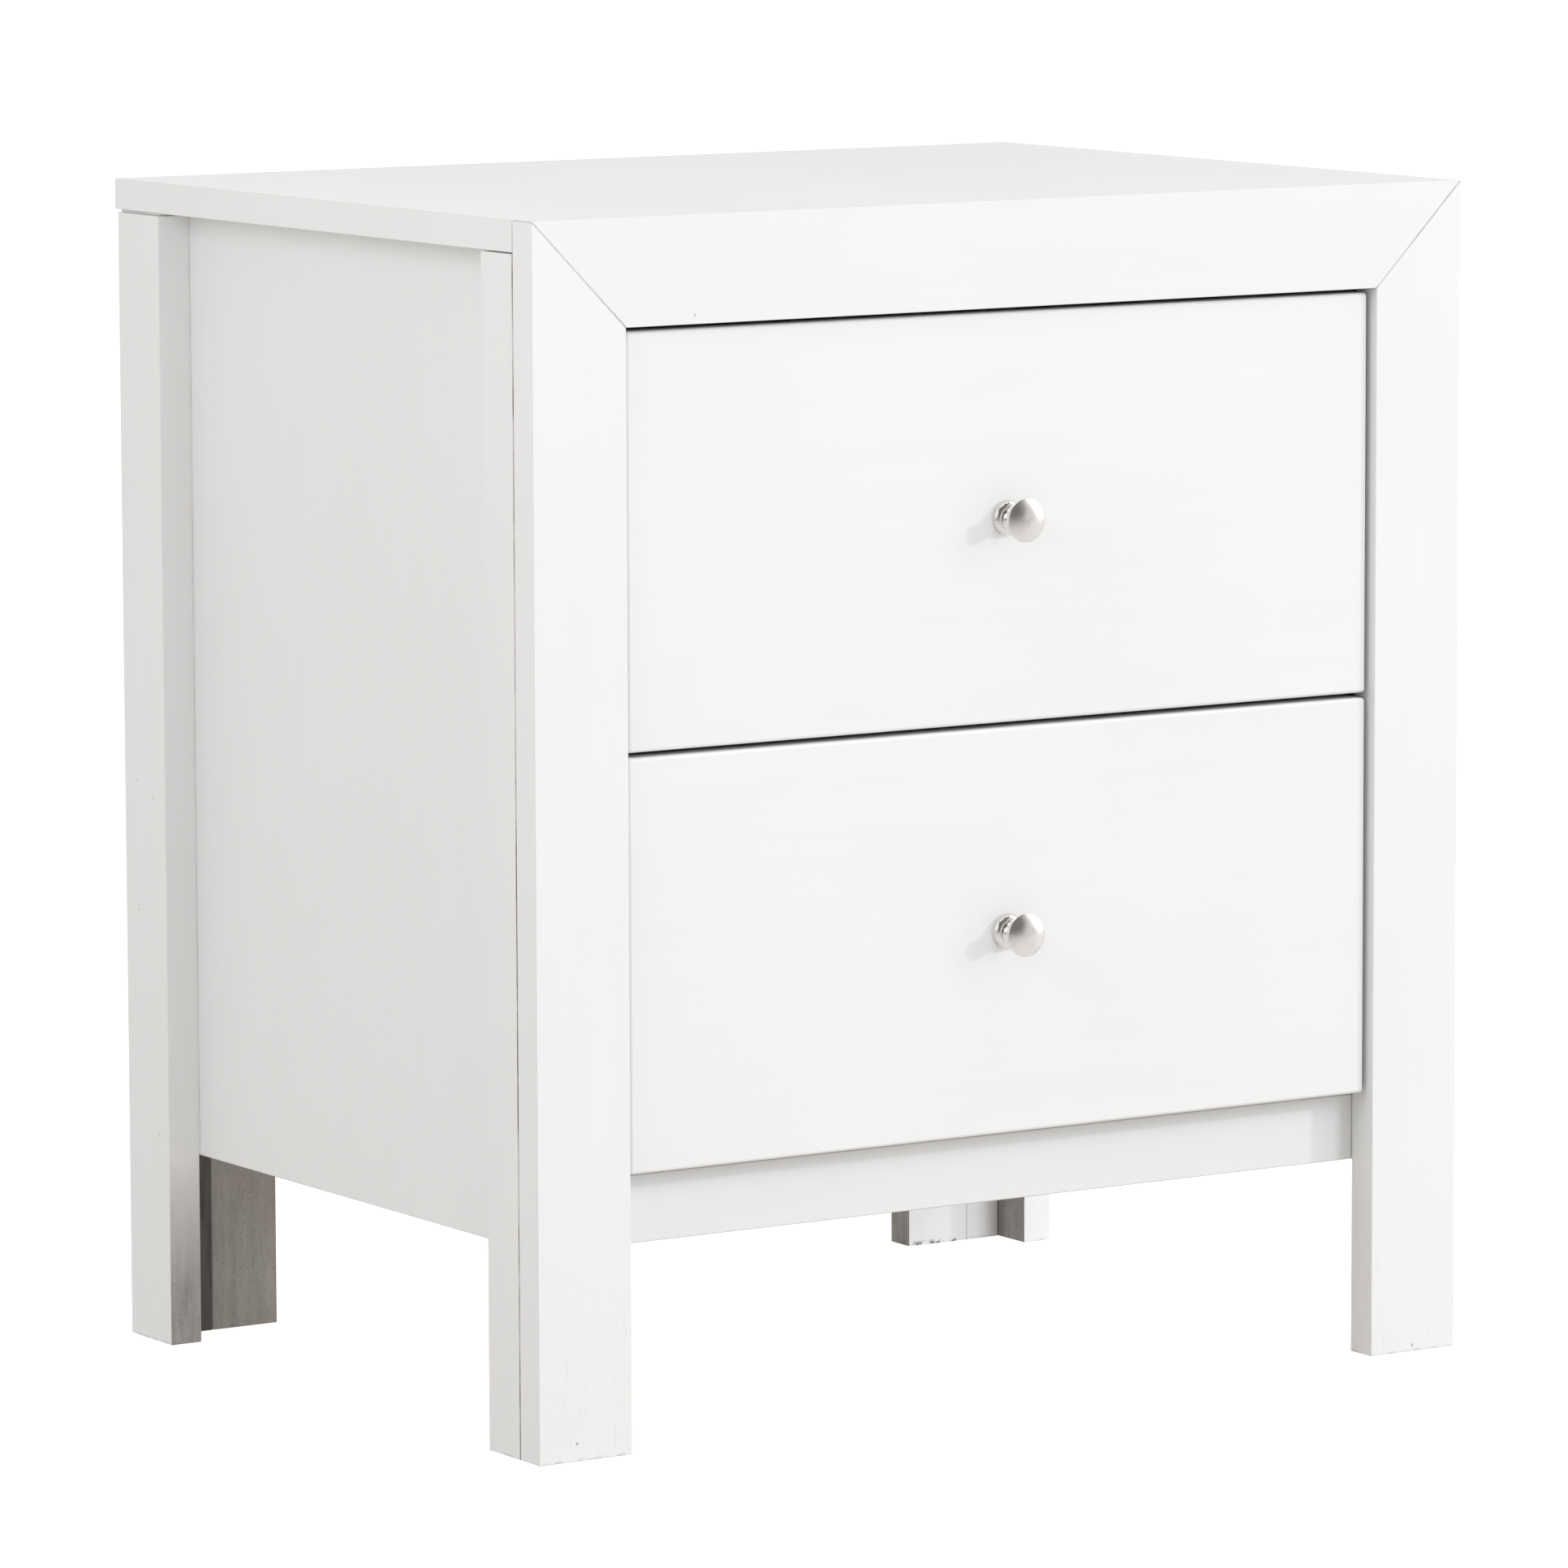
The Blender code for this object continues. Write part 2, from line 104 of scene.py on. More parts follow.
# ---------------------------------------------------------------- the room, as metal mirrors it
ROOM_LEVEL = 0.85            # at the walls
DARK_LEVEL = 0.20            # at the dark front
DARK_TOWARDS = Vector((-0.30, -0.80, 0.52))
DARK_EDGE = (0.68, 0.88)
BOX_LEVEL = 2.2              # at the soft box
BOX_TOWARDS = Vector((0.90, 0.05, 0.43))
BOX_EDGE = (0.74, 0.80)
CLUTTER_SCALE = 2.0          # of the darker and brighter things at the left and overhead
CLUTTER_LEVELS = (0.15, 1.6)
CLUTTER_EDGE = (0.42, 0.56)
CLUTTER_LEFT = (-0.75, -0.50)
CLUTTER_OVERHEAD = (0.74, 0.84)

# ---------------------------------------------------------------- floor
FLOOR_SIZE = 60.0
FLOOR_DROP = 0.0002          # below the feet, so that the two don't flicker
FLOOR_ALBEDO = 0.58
FLOOR_MOTTLE = 0.01          # more or less albedo in patches
FLOOR_TINT = (1.0, 0.975, 0.95)
FLOOR_GLOW = 0.87            # added where the camera looks, so that its shadows stay faint
FLOOR_BOUNCE = 0.33          # added to what it throws back up
FLOOR_MIRRORED = (0.0, 0.65)     # added where metal mirrors it, at the front left and rear right
FLOOR_MIRRORED_AT = (-3.6, 0.6)  # where those two levels begin, in metres along X plus Y

# ---------------------------------------------------------------- node helpers


class Graph:
    """The node tree of a material or world, with short calls for adding and joining nodes."""

    def __init__(self, owner, shader="Principled BSDF"):
        owner.use_nodes = True
        self.owner = owner
        self.tree = owner.node_tree
        self.shader = self.tree.nodes[shader]

    def add(self, kind, inputs=None, **settings):
        node = self.tree.nodes.new(kind)
        for key, value in settings.items():
            setattr(node, key, value)
        for key, value in (inputs or {}).items():
            self.put(node, key, value)
        return node

    def put(self, node, key, value):
        """Set a socket, or link it where the value is another node's output."""
        socket = node.inputs[key]
        if isinstance(value, bpy.types.NodeSocket):
            self.tree.links.new(value, socket)
        else:
            socket.default_value = value

    def place(self):
        """The point in the object's own metres."""
        return self.add("ShaderNodeTexCoord").outputs["Object"]

    def position(self, offset=(0, 0, 0), stretch=(1, 1, 1)):
        mapping = self.add("ShaderNodeMapping", {
            "Vector": self.place(), "Location": offset, "Scale": stretch})
        return mapping.outputs["Vector"]

    def parts(self, vector):
        return self.add("ShaderNodeSeparateXYZ", {0: vector}).outputs

    def noise(self, vector, scale, detail=2.0, roughness=0.5, distortion=0.0):
        node = self.add("ShaderNodeTexNoise", {
            "Vector": vector, "Scale": scale, "Detail": detail, "Roughness": roughness,
            "Distortion": distortion})
        return node.outputs["Fac"]

    def span(self, value, low, high, start=0.35, end=0.65):
        """Remap a value from start..end to low..high, clamped."""
        node = self.add("ShaderNodeMapRange", {
            "Value": value, "From Min": start, "From Max": end, "To Min": low, "To Max": high})
        return node.outputs["Result"]

    def maths(self, operation, first, second=0.0):
        node = self.add("ShaderNodeMath", {0: first, 1: second}, operation=operation)
        return node.outputs["Value"]

    def vectors(self, operation, first, second):
        node = self.add("ShaderNodeVectorMath", {0: first, 1: second}, operation=operation)
        return node.outputs["Value"]

    def mix(self, amount, first, second):
        node = self.add("ShaderNodeMix", {"Factor": amount, "A": first, "B": second})
        return node.outputs["Result"]

    def blend(self, amount, first, second):
        """Mix two colours."""
        node = self.add("ShaderNodeMix", data_type="RGBA")
        self.put(node, "Factor", amount)
        for index, colour in ((6, first), (7, second)):
            if isinstance(colour, bpy.types.NodeSocket):
                self.tree.links.new(colour, node.inputs[index])
            else:
                node.inputs[index].default_value = (*colour, 1.0)
        return node.outputs[2]

    def bump(self, height, strength, distance, below=None):
        node = self.add("ShaderNodeBump", {
            "Height": height, "Strength": strength, "Distance": distance})
        if below is not None:
            self.put(node, "Normal", below)
        return node.outputs["Normal"]


def surface(name):
    return Graph(bpy.data.materials.new(name))


def shifted(seed):
    """A far-off texture offset for each board, so that no two boards share their grain."""
    return (3.1 * seed + 0.7, 1.7 * seed + 2.3, 5.3 * seed + 1.1)


# ---------------------------------------------------------------- lacquer
# A _NOISE is scale, detail, roughness and distortion; a _FADE is where a noise starts to show and
# where it shows most; a _BUMP is strength and depth in metres.
GRAIN_STRETCH = {"X": (1.0, 22.0, 22.0), "Y": (22.0, 1.0, 22.0), "Z": (22.0, 22.0, 1.0)}
PAINT_LOW = (0.785, 0.785, 0.782)
PAINT_HIGH = (0.805, 0.805, 0.803)
PAINT_ROUGHNESS = (0.39, 0.43)
PAINT_IOR = 1.45
CLOUD_NOISE = (5.0, 3.0, 0.55)
PEEL_NOISE = (900.0,)
PEEL_BUMP = (0.06, 0.00012)
PAINT_GRAIN = (0.70, 0.70, 0.695)
GRAIN_NOISE = (3.2, 7.0, 0.62, 0.4)
GRAIN_FADE = (0.45, 0.75)
GRAIN_SHARE = 0.10           # of the grain's tone, from its faintest to its clearest
GRAIN_BUMP = (0.12, 0.0006)
PAINTED_SHADE_GRAIN_SHARE = {"front_apron": 0.30}    # least share of the grain's tone, raised on the apron as painted shade under the drawers
PAINT_SHADE = (0.42, 0.42, 0.415)
FILLER = (0.10, 0.09, 0.08)
SEAM_DIRT = (0.16, 0.15, 0.14)
SEAM_Y = (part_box("front_left_stile")[1].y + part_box("front_left_leg_strip")[0].y) / 2
SEAM_HALF = 0.00035
SEAM_NOISE = (26.0, 5.0, 0.7)
SEAM_FADE = (0.40, 0.62)
SEAM_SHARES = (0.15, 0.95)   # of the dirt's tone, where the seam is cleanest and dirtiest
WORN_FADE = (0.50, 0.56)
SCUFF_HEIGHT = 0.0012
SCUFF_NOISE = (120.0, 4.0, 0.7)
SCUFF_SHARE = 0.25
CHIP_HEIGHT = 0.0018         # the same for the right rear board, which is chipped
CHIP_NOISE = (260.0, 4.0, 0.7)
CHIP_SHARE = 1.0
BRUSHED_HEIGHT = 0.13        # up to which the front feet show brush strokes
BRUSHED_STRETCH = (60.0, 60.0, 6.0)
BRUSHED_NOISE = (9.0, 3.0)
BRUSHED_FADE = (0.60, 0.70)
BRUSHED_SHARE = 0.10
BRUSHED_SEED = 3
CASE_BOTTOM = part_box("left_side_panel")[0].z
FACE_SKIN = 0.0004           # depth of a board that counts as its face

PINHOLE_NOISE = (900.0,)
PINHOLE_SHARE = 0.55
PINHOLE_RIM = (0.25, 0.62)   # where a hole starts to fade and where it has faded, in radii
# Nail heads and pinholes under the paint: node, place from its lowest corner, radius.
PINHOLES = (
    ("front_top_rail", (0.0922, 0.0, 0.0046), 0.0006),
    ("front_left_stile", (0.0216, 0.0, 0.0090), 0.0009),
    ("front_right_stile", (0.0267, 0.0, 0.0032), 0.0009),
    ("rear_left_leg_side", (0.0, 0.0309, 0.2955), 0.0007),
    ("rear_left_leg_side", (0.0, 0.0126, 0.2881), 0.0007),
    ("rear_left_leg_side", (0.0, 0.0300, 0.2278), 0.0006),
    ("rear_left_leg_side", (0.0, 0.0109, 0.1106), 0.0008),
)

# Streaks and speckles in the painted shade on the rear legs below the case.
UNDERCASE_SHADE_STRETCH = (1.0, 1.0, 0.14)
UNDERCASE_SHADE_NOISE = (170.0, 5.0, 0.6)
UNDERCASE_SHADE_FADE = (0.30, 0.70)
SPECKLE_NOISE = (1100.0, 3.0, 0.6)
SPECKLE_FADE = (0.58, 0.68)
SPECKLE_SHARE = 0.55
# Painted shade on the rear legs' faces below the case, streaked and speckled: node, axis that the
# face looks back along, the two tones of the painted shade, and the height over which it fades out.
UNDERCASE_PAINTED_SHADE = {
    "rear_left_leg_block": ("Y", (0.045, 0.041, 0.037), (0.12, 0.112, 0.104), 0.001),
    "rear_left_leg_board": ("Y", (0.33, 0.318, 0.302), (0.46, 0.447, 0.428), 0.001),
    "rear_left_leg_side": ("Y", (0.33, 0.318, 0.305), (0.48, 0.467, 0.455), 0.070),
    "rear_right_leg_board": ("X", (0.19, 0.182, 0.17), (0.36, 0.35, 0.335), 0.001),
    "rear_right_leg_side": ("X", (0.235, 0.225, 0.215), (0.40, 0.387, 0.373), 0.001),
}


def pinholes(graph, node, tone):
    """Darken small ragged dots at the node's pinholes."""
    for owner, offset, radius in PINHOLES:
        if owner != node:
            continue
        place = graph.place()
        away = graph.vectors("DISTANCE", place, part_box(node)[0] + Vector(offset))
        edge = graph.maths("MULTIPLY", away, graph.noise(place, *PINHOLE_NOISE))
        start, end = (radius * share for share in PINHOLE_RIM)
        amount = graph.span(edge, PINHOLE_SHARE, 0.0, start, end)
        tone = graph.blend(amount, tone, FILLER)
    return tone


def paint_undercase_shade(graph, node, tone):
    """Painted shade, streaked and speckled, on one face of a rear leg below the case."""
    if node not in UNDERCASE_PAINTED_SHADE:
        return tone
    axis, low, high, fade = UNDERCASE_PAINTED_SHADE[node]
    parts = graph.parts(graph.place())
    start = getattr(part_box(node)[0], axis.lower())
    face = graph.span(parts[axis], 1.0, 0.0, start + FACE_SKIN * 0.5, start + FACE_SKIN)
    under = graph.span(parts["Z"], 1.0, 0.0, CASE_BOTTOM - fade, CASE_BOTTOM)
    streaks = graph.noise(graph.position(stretch=UNDERCASE_SHADE_STRETCH), *UNDERCASE_SHADE_NOISE)
    speckles = graph.noise(graph.place(), *SPECKLE_NOISE)
    painted_shade = graph.blend(graph.span(streaks, 0.0, 1.0, *UNDERCASE_SHADE_FADE), low, high)
    painted_shade = graph.blend(graph.span(speckles, 0.0, SPECKLE_SHARE, *SPECKLE_FADE), painted_shade, FILLER)
    return graph.blend(graph.maths("MULTIPLY", face, under), tone, painted_shade)


def seam_and_scuffs(graph, node, place, tone):
    """Dirt in the joint behind each stile, and worn lower edges on whatever stands on the floor."""
    parts = graph.parts(graph.place())
    if "stile" in node or "strip" in node:
        away = graph.maths("ABSOLUTE", graph.maths("SUBTRACT", parts["Y"], SEAM_Y))
        line = graph.span(away, 1.0, 0.0, SEAM_HALF, SEAM_HALF * 2.2)
        broken = graph.span(graph.noise(place, *SEAM_NOISE), *SEAM_SHARES, *SEAM_FADE)
        tone = graph.blend(graph.maths("MULTIPLY", line, broken), tone, SEAM_DIRT)
    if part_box(node)[0].z < SCUFF_HEIGHT:
        chipped = node == "rear_right_leg_board"
        height = CHIP_HEIGHT if chipped else SCUFF_HEIGHT
        low_down = graph.span(parts["Z"], 1.0, 0.0, height * 0.4, height * 1.6)
        spots = graph.noise(place, *(CHIP_NOISE if chipped else SCUFF_NOISE))
        worn = graph.span(spots, 0.0, CHIP_SHARE if chipped else SCUFF_SHARE, *WORN_FADE)
        tone = graph.blend(graph.maths("MULTIPLY", low_down, worn), tone, SEAM_DIRT)
    if "stile" in node:
        along = graph.position(shifted(BRUSHED_SEED), BRUSHED_STRETCH)
        dashes = graph.span(graph.noise(along, *BRUSHED_NOISE), 0.0, BRUSHED_SHARE, *BRUSHED_FADE)
        near_floor = graph.span(parts["Z"], 1.0, 0.0, BRUSHED_HEIGHT * 0.5, BRUSHED_HEIGHT)
        tone = graph.blend(graph.maths("MULTIPLY", dashes, near_floor), tone, PAINT_SHADE)
    return tone


def lacquer(name, grain, seed, node):
    """Satin white lacquer over wood: soft tone shifts, faint grain under the film, fine peel, and
    painted shade on the apron and on the rear legs below the case.
    """
    graph = surface(name)
    place = graph.position(shifted(seed))
    cloud = graph.noise(place, *CLOUD_NOISE)
    streaks = graph.noise(graph.position(shifted(seed), GRAIN_STRETCH[grain]), *GRAIN_NOISE)
    peel = graph.noise(place, *PEEL_NOISE)
    tone = graph.blend(graph.span(cloud, 0.0, 1.0), PAINT_LOW, PAINT_HIGH)
    # painted shade: more of the grain's darker tone on the apron, under the drawers
    least = PAINTED_SHADE_GRAIN_SHARE.get(node, 0.0)
    shown = graph.span(streaks, least, least + GRAIN_SHARE, *GRAIN_FADE)
    tone = graph.blend(shown, tone, PAINT_GRAIN)
    # painted shade on the rear legs' faces below the case
    tone = paint_undercase_shade(graph, node, tone)
    tone = seam_and_scuffs(graph, node, place, tone)
    tone = pinholes(graph, node, tone)
    normal = graph.bump(streaks, *GRAIN_BUMP)
    graph.put(graph.shader, "Base Color", tone)
    graph.put(graph.shader, "Roughness", graph.span(cloud, *PAINT_ROUGHNESS))
    graph.put(graph.shader, "Normal", graph.bump(peel, *PEEL_BUMP, normal))
    graph.shader.inputs["IOR"].default_value = PAINT_IOR
    return graph.owner


# ---------------------------------------------------------------- other materials
PLY_LOW = (0.60, 0.42, 0.24)
PLY_HIGH = (0.74, 0.57, 0.37)
PLY_NOISE = (1.6, 5.0, 0.6, 1.2)
PLY_ROUGHNESS = (0.42, 0.58)
PORE_TONE = (0.36, 0.23, 0.12)
PORE_NOISE = (9.0, 6.0, 0.7)
PORE_FADE = (0.5, 0.8)
PORE_SHARE = 0.35
PORE_BUMP = (0.25, 0.0003)
PRIMER_LOW = (0.66, 0.65, 0.62)
PRIMER_HIGH = (0.74, 0.73, 0.71)
PRIMER_NOISE = (14.0, 4.0, 0.6)
PRIMER_ROUGHNESS = (0.55, 0.72)
FIBRE_NOISE = (12.0, 5.0, 0.6)
FIBRE_BUMP = (0.3, 0.0003)
ZINC_LOW = (0.55, 0.57, 0.60)
ZINC_HIGH = (0.68, 0.68, 0.66)
ZINC_NOISE = (28.0, 3.0)
ZINC_ROUGHNESS = (0.26, 0.42)
ROLLED_STRETCH = (60.0, 1.0, 60.0)
ROLLED_NOISE = (14.0, 4.0)
ROLLED_BUMP = (0.15, 0.0001)
NICKEL_LOW = (0.72, 0.705, 0.685)
NICKEL_HIGH = (0.79, 0.775, 0.755)
NICKEL_NOISE = (160.0, 3.0)
SATIN_ROUGHNESS = (0.24, 0.29)
SATIN_ANISOTROPY = 0.35
POLISHED_ROUGHNESS = (0.03, 0.06)


def plywood(name, grain, seed, node):
    """Clear-coated pale wood with a long grain."""
    graph = surface(name)
    along = graph.position(shifted(seed), GRAIN_STRETCH[grain])
    figure = graph.noise(along, *PLY_NOISE)
    pores = graph.noise(along, *PORE_NOISE)
    tone = graph.blend(graph.span(figure, 0.0, 1.0), PLY_LOW, PLY_HIGH)
    tone = graph.blend(graph.span(pores, 0.0, PORE_SHARE, *PORE_FADE), tone, PORE_TONE)
    graph.put(graph.shader, "Base Color", tone)
    graph.put(graph.shader, "Roughness", graph.span(figure, *PLY_ROUGHNESS))
    graph.put(graph.shader, "Normal", graph.bump(pores, *PORE_BUMP))
    return graph.owner


def primed(name, grain, seed, node):
    """Matt primer over board, with a dry, slightly patchy surface."""
    graph = surface(name)
    patches = graph.noise(graph.position(shifted(seed)), *PRIMER_NOISE)
    fibres = graph.noise(graph.position(shifted(seed), GRAIN_STRETCH[grain]), *FIBRE_NOISE)
    tone = graph.blend(graph.span(patches, 0.0, 1.0), PRIMER_LOW, PRIMER_HIGH)
    graph.put(graph.shader, "Base Color", tone)
    graph.put(graph.shader, "Roughness", graph.span(patches, *PRIMER_ROUGHNESS))
    graph.put(graph.shader, "Normal", graph.bump(fibres, *FIBRE_BUMP))
    return graph.owner


def zinc(name):
    """Zinc-plated pressed steel: cloudy passivation and fine rolling lines along the slide."""
    graph = surface(name)
    lines = graph.noise(graph.position(stretch=ROLLED_STRETCH), *ROLLED_NOISE)
    cloud = graph.noise(graph.place(), *ZINC_NOISE)
    tone = graph.blend(graph.span(cloud, 0.0, 1.0), ZINC_LOW, ZINC_HIGH)
    graph.put(graph.shader, "Base Color", tone)
    graph.shader.inputs["Metallic"].default_value = 1.0
    graph.put(graph.shader, "Roughness", graph.span(lines, *ZINC_ROUGHNESS))
    graph.put(graph.shader, "Normal", graph.bump(lines, *ROLLED_BUMP))
    return graph.owner


def nickel(name, roughness, brushed):
    """Nickel plate; a brushed face carries fine rings about the knob's axis."""
    graph = surface(name)
    smears = graph.noise(graph.place(), *NICKEL_NOISE)
    tone = graph.blend(graph.span(smears, 0.0, 1.0), NICKEL_LOW, NICKEL_HIGH)
    graph.put(graph.shader, "Base Color", tone)
    graph.shader.inputs["Metallic"].default_value = 1.0
    graph.put(graph.shader, "Roughness", graph.span(smears, *roughness))
    if brushed:
        graph.shader.inputs["Anisotropic"].default_value = SATIN_ANISOTROPY
        round_about = graph.add("ShaderNodeTangent", direction_type="RADIAL", axis="Y")
        graph.put(graph.shader, "Tangent", round_about.outputs["Tangent"])
    return graph.owner


# ---------------------------------------------------------------- new pieces
def add_piece(name, shape, material, body):
    """Turn a bmesh into a piece that rides on a body."""
    mesh = bpy.data.meshes.new(name)
    shape.to_mesh(mesh)
    shape.free()
    mesh.materials.append(material)
    piece = bpy.data.objects.new(name, mesh)
    bpy.context.scene.collection.objects.link(piece)
    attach(piece, body)
    return piece


def split_at_rims(piece, degrees):
    """Shade a piece smooth, with sharp edges wherever its faces turn by more than some degrees."""
    for face in piece.data.polygons:
        face.use_smooth = True
    split = piece.modifiers.new("sharp_rims", "EDGE_SPLIT")
    split.split_angle = math.radians(degrees)


# ---------------------------------------------------------------- knobs
KNOB_STEPS = 96              # round the axis
FACE_GAP = 0.0003
FOOT_RADIUS = 0.0089
FOOT_HEIGHT = 0.0046
FOOT_WALL = 0.0012
FOOT_BORE = 0.0026
KNOB_RADIUS = 0.0110
KNOB_LENGTH = 0.0215
KNOB_CROWN = 0.0036
RIM_ROUND = 0.0006
KNOB_BORE = 0.0024
KNOB_BORE_END = 0.0160
RIM_ENDS_AT = -80            # degrees round the rim
NECK_CENTRE = (0.0106, 0.0104)
NECK_HOLLOW = 0.0060
FLARE_STARTS_AT = 105        # degrees round the neck's hollow
CAP_ENDS_AT = 155
NECK_ENDS_AT = 228
NECK_BEAD = (0.0062, 0.0007)     # its widest radius, and its height over the neck's base
NECK_BASE = (0.0058, 0.0004)
SHOULDER_STARTS_AT = 84      # degrees round the foot's shoulder
FOOT_SKIRT = 0.0005          # reach from the drawer's face at which the foot's lower bevel starts
FOOT_BEVEL = 0.0002
KNOB_SHARP = 35              # degrees between faces that make a sharp edge
MERGE_DISTANCE = 0.000001


def arc(centre, radius, start, end, count):
    """Points on a round stretch of a profile, angles in degrees from the radial direction."""
    points = []
    for step in range(count + 1):
        angle = math.radians(start + (end - start) * step / count)
        points.append((centre[0] + radius * math.cos(angle), centre[1] + radius * math.sin(angle)))
    return points


def sort_faces(shape):
    """Put the faces in one order, which spin would otherwise change from run to run."""
    shape.verts.index_update()
    count = len(shape.verts)

    def rank(face):
        number = 0
        for index in sorted(corner.index for corner in face.verts):
            number = number * count + index
        return number

    shape.faces.sort(key=rank)


def turned(name, level, node, profile, closed, material):
    """A piece turned about the knob's axis; profile is (radius, reach from the drawer's face)."""
    low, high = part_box(node)
    centre = Vector(((low.x + high.x) / 2, 0.0, (low.z + high.z) / 2))
    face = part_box(f"{level}_drawer_front")[0].y
    shape = bmesh.new()
    corners = [shape.verts.new((centre.x + radius, face - reach, centre.z))
               for radius, reach in profile]
    pairs = list(zip(corners, corners[1:])) + ([(corners[-1], corners[0])] if closed else [])
    edges = [shape.edges.new(pair) for pair in pairs]
    bmesh.ops.spin(shape, geom=corners + edges, cent=centre, axis=(0, 1, 0), steps=KNOB_STEPS,
                   angle=2 * math.pi, use_merge=True)
    bmesh.ops.remove_doubles(shape, verts=shape.verts, dist=MERGE_DISTANCE)
    bmesh.ops.recalc_face_normals(shape, faces=shape.faces)
    sort_faces(shape)
    piece = add_piece(name, shape, material, f"{level}_drawer")
    split_at_rims(piece, KNOB_SHARP)
    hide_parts(node)
    return piece


def knob_profiles():
    """Cap, neck and foot. Cap and neck are one piece of metal, apart here for the lamps' sake."""
    crown_radius = (KNOB_RADIUS ** 2 + KNOB_CROWN ** 2) / (2 * KNOB_CROWN)
    crown_centre = KNOB_LENGTH - crown_radius
    half_angle = math.asin((KNOB_RADIUS - RIM_ROUND) / (crown_radius - RIM_ROUND))
    rim_centre = crown_centre + (crown_radius - RIM_ROUND) * math.cos(half_angle)
    rim_start = 90 - math.degrees(half_angle)
    crown = arc((0.0, crown_centre), crown_radius, 90, rim_start, 20)
    rim = arc((KNOB_RADIUS - RIM_ROUND, rim_centre), RIM_ROUND, rim_start, RIM_ENDS_AT, 12)
    flare = arc(NECK_CENTRE, NECK_HOLLOW, FLARE_STARTS_AT, CAP_ENDS_AT, 12)
    cap_base = flare[-1][1]
    cap = [(0.0, KNOB_LENGTH)] + crown[1:] + rim[1:] + flare
    cap += [(KNOB_BORE, cap_base), (KNOB_BORE, KNOB_BORE_END - 0.001), (0.0, KNOB_BORE_END)]
    neck_base = FOOT_HEIGHT + FACE_GAP
    neck = arc(NECK_CENTRE, NECK_HOLLOW, CAP_ENDS_AT, NECK_ENDS_AT, 18)
    neck += [(radius, neck_base + rise) for radius, rise in (NECK_BEAD, NECK_BASE)]
    neck += [(NECK_BASE[0], neck_base), (KNOB_BORE, neck_base), (KNOB_BORE, cap_base)]
    shoulder_radius = FOOT_HEIGHT - FOOT_WALL
    shoulder = arc((FOOT_RADIUS - shoulder_radius, FOOT_WALL), shoulder_radius,
                   SHOULDER_STARTS_AT, 0, 16)
    foot = [(FOOT_BORE, FOOT_HEIGHT)] + shoulder
    foot += [(FOOT_RADIUS, FOOT_SKIRT), (FOOT_RADIUS - FOOT_BEVEL, FACE_GAP), (FOOT_BORE, FACE_GAP)]
    return cap, neck, foot


def knobs():
    """Finer turned knobs in place of the frame's plainer ones: their caps, then necks and feet."""
    satin = nickel("satin_nickel", SATIN_ROUGHNESS, True)
    polished = nickel("polished_nickel", POLISHED_ROUGHNESS, False)
    cap, neck, foot = knob_profiles()
    caps, bases = [], []
    for level in ("upper", "lower"):
        knob = f"{level}_knob"
        caps.append(turned(f"{level}_turned_cap", level, knob, cap, False, satin))
        bases.append(turned(f"{level}_turned_neck", level, knob, neck, True, polished))
        bases.append(turned(f"{level}_turned_foot", level, f"{knob}_foot", foot, True, polished))
    return caps, bases


# ---------------------------------------------------------------- finishes on the frame's nodes
METAL_SHARP = 32             # degrees between faces that make a sharp edge
BOARD_SHARP = 50
WELD_DISTANCE = 0.00001


def longest_axis(node):
    low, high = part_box(node)
    size = high - low
    return "XYZ"[max(range(3), key=lambda axis: size[axis])]


def dress():
    slots = {row["node"]: row["material_slot"] for row in frame["record"]["subparts"]}
    steel = zinc("zinc_steel")
    makers = {"white_lacquer": lacquer, "drawer_wood": plywood, "primed_board": primed}
    for seed, (node, slot) in enumerate(sorted(slots.items())):
        piece = NODES[node]
        metal = slot not in makers
        grain = longest_axis(node)
        material = steel if metal else makers[slot](f"{node}_finish", grain, seed, node)
        piece.data.materials.clear()
        piece.data.materials.append(material)
        weld = piece.modifiers.new("welded", "WELD")
        weld.merge_threshold = WELD_DISTANCE
        split_at_rims(piece, METAL_SHARP if metal else BOARD_SHARP)
        if not metal:
            piece.modifiers.new("flat_faces", "WEIGHTED_NORMAL")


# ---------------------------------------------------------------- paint in the joints
MITRE_PAINT = (0.0020, 0.00026)      # deep and thick
MITRE_SET_BACK = 0.0013
MITRE_SHORTER = 0.003
MITRE_DIRT = 0.6
CORNER_PAINT = (0.0005, 0.0006)      # wide and deep
CORNER_OUT = 0.0003
CORNER_SET_BACK = 0.0001
SLIP_SHORTER = 0.002
SHIM_WIDTH = 0.0150
SHIM_THINNER = 0.0003
SLIP_DIRT = 0.15
SLIP_BEVEL = 0.2             # of the slip's least size
RUN_NOISE = (34.0, 5.0, 0.7)
RUN_FADE = (0.46, 0.66)
RUN_FINE_NOISE = (420.0,)
RUN_ROUGHNESS = (0.4, 0.55)


def joint_paint(dirt):
    """Lacquer that ran into a joint, with dirt in places along it."""
    name = f"joint_paint_{round(dirt * 100)}"
    if name in bpy.data.materials:
        return bpy.data.materials[name]
    graph = surface(name)
    patches = graph.noise(graph.place(), *RUN_NOISE)
    fine = graph.noise(graph.place(), *RUN_FINE_NOISE)
    tone = graph.blend(graph.span(fine, 0.0, 1.0), PAINT_LOW, PAINT_HIGH)
    tone = graph.blend(graph.span(patches, 0.0, dirt, *RUN_FADE), tone, SEAM_DIRT)
    graph.put(graph.shader, "Base Color", tone)
    graph.put(graph.shader, "Roughness", graph.span(fine, *RUN_ROUGHNESS))
    return graph.owner


